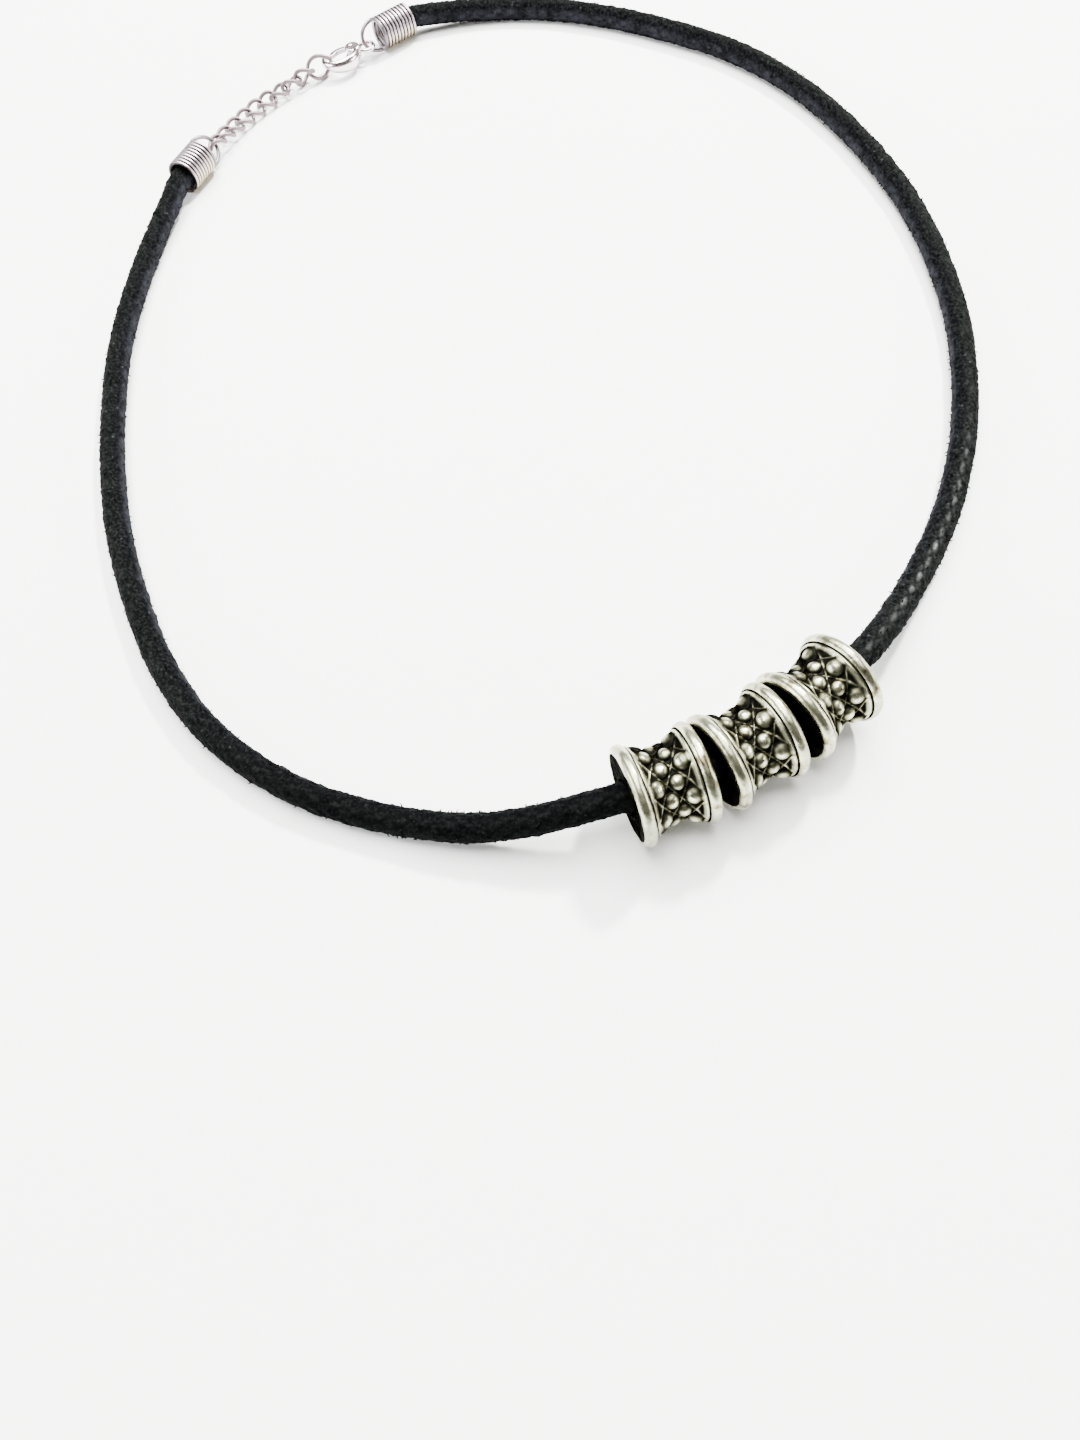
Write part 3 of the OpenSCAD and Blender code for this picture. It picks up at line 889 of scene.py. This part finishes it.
def makeClaspBody(material):
    c = clasp
    rows = curveAt(c["claw"], np.linspace(0, len(c["claw"]) - 1, c["clawRings"]))
    path = np.stack([rows[:, 0], rows[:, 1], 0 * rows[:, 0]], -1)
    each = np.ones((1, c["clawSides"]))
    claw = (tubePoints(path, runsOf(path), uprights(len(path)), rows[:, 2:3] * each,
                       rows[:, 3:4] * each),
            gridFaces(len(path), c["clawSides"]))
    u = np.linspace(0, tau, c["ringSteps"], endpoint=False)
    circle = np.stack([c["ringR"] * np.cos(u), c["ringR"] * np.sin(u), 0 * u], -1)
    thick = np.full((c["ringSteps"], c["ringSides"]), c["ringWire"])
    ring = (tubePoints(circle, runsOf(circle, True), uprights(c["ringSteps"]), thick),
            gridFaces(c["ringSteps"], c["ringSides"], closed=True))
    base = post(*c["base"], c["baseR"], c["baseHigh"], c["baseSoft"])
    (x, y), (w, h) = c["slotAt"], c["slotSize"]
    knife = slab([(x, y), (x + w, y), (x + w, y + h), (x, y + h)], c["slotHigh"])
    rivet = post(*c["pivot"], c["rivetR"], c["rivetHigh"], c["rivetSoft"])
    points, faces = fused("claw_clasp", [claw, base, ring], c["voxel"], knife, [rivet])
    piece = makePiece("claw_clasp", placedClasp(points), faces, material)
    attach(piece, body)
    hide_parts("clasp_body")


def makeClaspLever(material):
    c = clasp
    high = c["leverHigh"]

    def onArm(radius, angle):
        x, y = c["armAt"]
        return x + radius * math.cos(angle), y + radius * math.sin(angle)

    start, end = math.radians(c["armStart"]), math.radians(c["armEnd"])
    sweep = np.linspace(start, end, c["armSteps"])
    outer, inner = c["armR"] + c["armWide"] / 2, c["armR"] - c["armWide"] / 2
    outline = [onArm(outer, s) for s in sweep] + [onArm(inner, s) for s in sweep[::-1]]
    parts = [
        slab(outline, high), slab(c["tabOutline"], high),
        post(*c["pivot"], c["leverEye"], high), post(*c["tab"], c["tabR"], high),
        post(*onArm(c["armR"], end), c["armWide"] / 2, high),
    ]
    points, faces = fused("clasp_lever_arm", parts, c["leverVoxel"])
    piece = makePiece("sprung_lever", placedClasp(points), faces, material)
    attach(piece, "lever")
    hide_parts("clasp_lever")


claspMaterial = wireFinish("bright_clasp", clasp)
makeClaspBody(claspMaterial)
makeClaspLever(claspMaterial)

print("stage: sizes")
